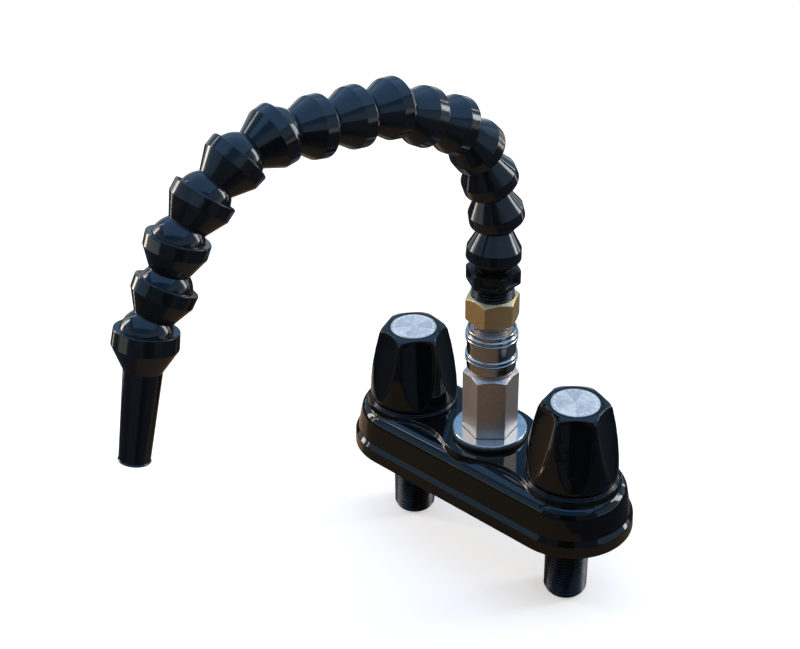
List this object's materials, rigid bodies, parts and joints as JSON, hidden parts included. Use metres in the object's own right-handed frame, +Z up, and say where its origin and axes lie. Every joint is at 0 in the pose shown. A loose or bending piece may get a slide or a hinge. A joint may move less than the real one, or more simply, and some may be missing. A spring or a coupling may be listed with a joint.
{
  "type": "flexible spout tap",
  "caption": "Two-handle deck tap with a quick coupler and a ball-and-socket flexible spout ending in a tapered nozzle.",
  "frame": {"origin": "centre of the deck underside, midway between the two handle axes, on the sink top", "axes": "+X from the left handle to the right handle, -Y to the front where the spout reaches, +Z up"},
  "size_m": [0.1632, 0.2303, 0.278],
  "materials": {
    "cover_plastic": "glossy black moulded plastic",
    "body_plastic": "black glass-filled acetal, as moulded",
    "knob_plastic": "glossy black moulded plastic",
    "index_metal": "silvery disc under a clear face, with plain ticks",
    "stem_acetal": "white acetal, as moulded",
    "gasket_foam": "closed-cell foam",
    "seal_rubber": "moulded rubber",
    "disc_ceramic": "lapped ceramic",
    "steel": "bright drawn stainless steel",
    "washer_chrome": "polished plate",
    "coupler_nickel": "nickel plate over turned and milled steel",
    "brass": "machined brass",
    "hose_plastic": "black acetal, smooth from the mould"
  },
  "bodies": {
    "base": {"deck_cover": "cover_plastic", "deck_gasket": "gasket_foam", "valve_body": "body_plastic", "inlet_shank_left": "body_plastic", "valve_seal_left": "seal_rubber", "valve_disc_left": "disc_ceramic", "valve_bonnet_left": "stem_acetal", "inlet_shank_right": "body_plastic", "valve_seal_right": "seal_rubber", "valve_disc_right": "disc_ceramic", "valve_bonnet_right": "stem_acetal", "spout_nipple": "brass", "spout_pad": "seal_rubber", "spout_washer": "washer_chrome", "coupler_body": "coupler_nickel", "retaining_ring": "steel", "locking_balls": "steel", "sleeve_spring": "steel", "coupler_seal": "seal_rubber"},
    "handle_left": {"valve_stem_left": "stem_acetal", "stem_ring_left": "seal_rubber", "handle_knob_left": "knob_plastic", "knob_screw_left": "steel", "index_disc_left": "index_metal"},
    "handle_right": {"valve_stem_right": "stem_acetal", "stem_ring_right": "seal_rubber", "handle_knob_right": "knob_plastic", "knob_screw_right": "steel", "index_disc_right": "index_metal"},
    "sleeve": {"coupler_sleeve": "coupler_nickel"},
    "plug": {"brass_adapter": "brass", "hose_connector": "hose_plastic"},
    "segment_01": {"hose_segment_01": "hose_plastic"},
    "segment_02": {"hose_segment_02": "hose_plastic"},
    "segment_03": {"hose_segment_03": "hose_plastic"},
    "segment_04": {"hose_segment_04": "hose_plastic"},
    "segment_05": {"hose_segment_05": "hose_plastic"},
    "segment_06": {"hose_segment_06": "hose_plastic"},
    "segment_07": {"hose_segment_07": "hose_plastic"},
    "segment_08": {"hose_segment_08": "hose_plastic"},
    "segment_09": {"hose_segment_09": "hose_plastic"},
    "segment_10": {"hose_segment_10": "hose_plastic"},
    "segment_11": {"hose_segment_11": "hose_plastic"},
    "segment_12": {"hose_segment_12": "hose_plastic"},
    "segment_13": {"hose_segment_13": "hose_plastic"},
    "segment_14": {"hose_segment_14": "hose_plastic"},
    "nozzle": {"hose_nozzle": "hose_plastic"}
  },
  "joints": [
    {"name": "handle_left_turn", "type": "hinge", "parent": "base", "child": "handle_left", "pos_m": [-0.0508, 0, 0.03], "axis": [0, 0, 1], "range_deg": [0, 90]},
    {"name": "handle_right_turn", "type": "hinge", "parent": "base", "child": "handle_right", "pos_m": [0.0508, 0, 0.03], "axis": [0, 0, 1], "range_deg": [-90, 0]},
    {"name": "sleeve_slide", "type": "slide", "parent": "base", "child": "sleeve", "axis": [0, 0, -1], "range_m": [0, 0.0019], "stiffness_N_per_m": 2000, "springref_m": -0.002, "deforming": ["sleeve_spring"]},
    {"name": "spout_swivel", "type": "hinge", "parent": "base", "child": "plug", "pos_m": [0, 0, 0.075], "axis": [0, 0, 1], "continuous": true},
    {"name": "hose_joint_01", "type": "hinge", "parent": "plug", "child": "segment_01", "pos_m": [0, 0, 0.12839], "axis": [0.9404, -0.1427, 0.3086], "range_deg": [-19, 25]},
    {"name": "hose_joint_02", "type": "hinge", "parent": "segment_01", "child": "segment_02", "pos_m": [0.00017, 0.001, 0.14778], "axis": [0.9263, -0.2271, 0.3008], "range_deg": [-38, 6]},
    {"name": "hose_joint_03", "type": "hinge", "parent": "segment_02", "child": "segment_03", "pos_m": [-0.00049, -0.00332, 0.16671], "axis": [0.9171, -0.281, 0.2827], "range_deg": [-32.7, 11.3]},
    {"name": "hose_joint_04", "type": "hinge", "parent": "segment_03", "child": "segment_04", "pos_m": [-0.00173, -0.01102, 0.18449], "axis": [0.9045, -0.3605, 0.2281], "range_deg": [-40.2, 3.8]},
    {"name": "hose_joint_05", "type": "hinge", "parent": "segment_04", "child": "segment_05", "pos_m": [-0.00335, -0.0239, 0.19894], "axis": [0.8928, -0.4287, 0.1383], "range_deg": [-43.3, 0.7]},
    {"name": "hose_joint_06", "type": "hinge", "parent": "segment_05", "child": "segment_06", "pos_m": [-0.00578, -0.04106, 0.20769], "axis": [0.8927, -0.4292, 0.1373], "range_deg": [-22.2, 21.8]},
    {"name": "hose_joint_07", "type": "hinge", "parent": "segment_06", "child": "segment_07", "pos_m": [-0.0082, -0.05826, 0.21638], "axis": [0.8885, -0.458, 0.0271], "range_deg": [-43.5, 0.5]},
    {"name": "hose_joint_08", "type": "hinge", "parent": "segment_07", "child": "segment_08", "pos_m": [-0.01056, -0.07746, 0.21811], "axis": [0.8886, -0.4581, 0.0218], "range_deg": [-23, 21]},
    {"name": "hose_joint_09", "type": "hinge", "parent": "segment_08", "child": "segment_09", "pos_m": [-0.01285, -0.09669, 0.21949], "axis": [0.8878, -0.4591, 0.0331], "range_deg": [-19.9, 24.1]},
    {"name": "hose_joint_10", "type": "hinge", "parent": "segment_09", "child": "segment_10", "pos_m": [-0.01553, -0.11581, 0.22159], "axis": [0.8891, -0.4504, -0.0809], "range_deg": [-43.5, 0.5]},
    {"name": "hose_joint_11", "type": "hinge", "parent": "segment_10", "child": "segment_11", "pos_m": [-0.01819, -0.13435, 0.21647], "axis": [0.896, -0.4058, -0.1801], "range_deg": [-42.4, 1.6]},
    {"name": "hose_joint_12", "type": "hinge", "parent": "segment_11", "child": "segment_12", "pos_m": [-0.02075, -0.14992, 0.20514], "axis": [0.9041, -0.3561, -0.2363], "range_deg": [-36, 8]},
    {"name": "hose_joint_13", "type": "hinge", "parent": "segment_12", "child": "segment_13", "pos_m": [-0.02301, -0.16227, 0.19033], "axis": [0.9181, -0.2721, -0.2881], "range_deg": [-40.5, 3.5]},
    {"name": "hose_joint_14", "type": "hinge", "parent": "segment_13", "child": "segment_14", "pos_m": [-0.02448, -0.16934, 0.1723], "axis": [0.9114, -0.3165, -0.2632], "range_deg": [-12.5, 31.5]},
    {"name": "hose_joint_15", "type": "hinge", "parent": "segment_14", "child": "nozzle", "pos_m": [-0.02596, -0.17932, 0.1557], "axis": [0.9272, -0.2327, -0.2935], "range_deg": [-39, 5]}
  ]
}
